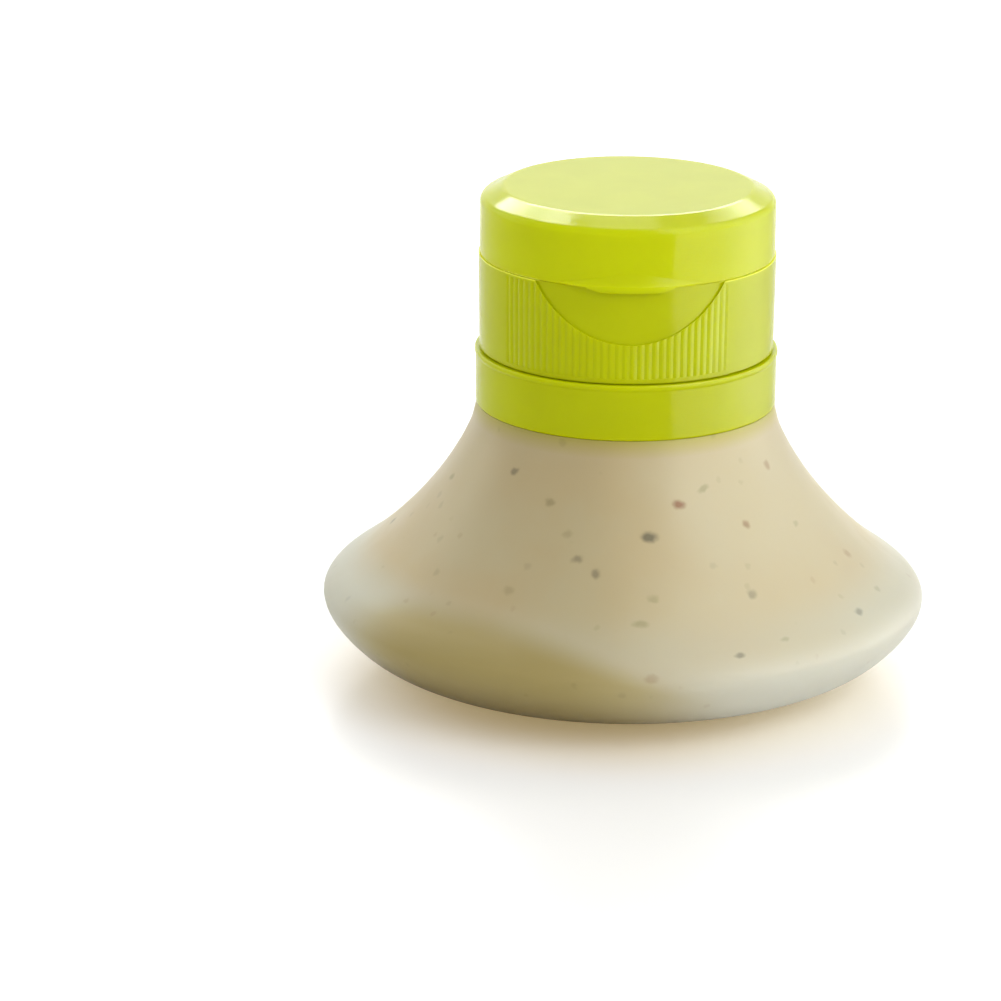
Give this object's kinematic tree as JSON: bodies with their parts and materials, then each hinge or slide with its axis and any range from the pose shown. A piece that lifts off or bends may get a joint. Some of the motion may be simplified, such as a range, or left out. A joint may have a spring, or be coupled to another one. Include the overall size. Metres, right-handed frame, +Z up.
{
  "type": "condiment squeeze bottle",
  "caption": "Squat squeeze bottle: a soft flared body with a wide rounded base, a rigid threaded neck, a collar, and a screw cap with a flip-top lid over a slit valve.",
  "frame": {"origin": "centre of the foot, on the surface the bottle stands on", "axes": "+Z up along the bottle's axis; -Y is the front, where the lid's lip and the thumb recess are; the lid's hinge is at +Y"},
  "size_m": [0.0844, 0.0844, 0.0698],
  "materials": {
    "milky_silicone": "satin, milky and translucent, seen with a cream dressing behind it",
    "neck_plastic": "satin moulded",
    "lime_plastic": "gloss moulded",
    "gasket_rubber": "satin",
    "valve_silicone": "satin, translucent"
  },
  "bodies": {
    "bottle": {"bottle_body": "milky_silicone", "neck_sleeve": "neck_plastic", "collar_ring": "lime_plastic"},
    "gasket": {"cap_gasket": "gasket_rubber"},
    "cap": {"cap_base": "lime_plastic", "flow_valve": "valve_silicone", "valve_retainer": "neck_plastic", "hinge_film": "lime_plastic", "hinge_straps": "lime_plastic"},
    "lid": {"flip_lid": "lime_plastic"}
  },
  "joints": [
    {"name": "cap_lift", "type": "slide", "parent": "bottle", "child": "gasket", "axis": [0, 0, 1], "range_m": [0, 0.0128]},
    {"name": "cap_turn", "type": "hinge", "parent": "gasket", "child": "cap", "pos_m": [0, 0, 0.0475], "axis": [0, 0, 1], "range_deg": [0, 1080]},
    {"name": "lid_flip", "type": "hinge", "parent": "cap", "child": "lid", "pos_m": [0, 0.02108, 0.06042], "axis": [-1, 0, 0], "range_deg": [0, 125], "deforming": ["hinge_film", "hinge_straps"]}
  ],
  "couplings": [
    {"joint": "cap_lift", "follows": "cap_turn", "m_per_rad": 0.0006737}
  ]
}
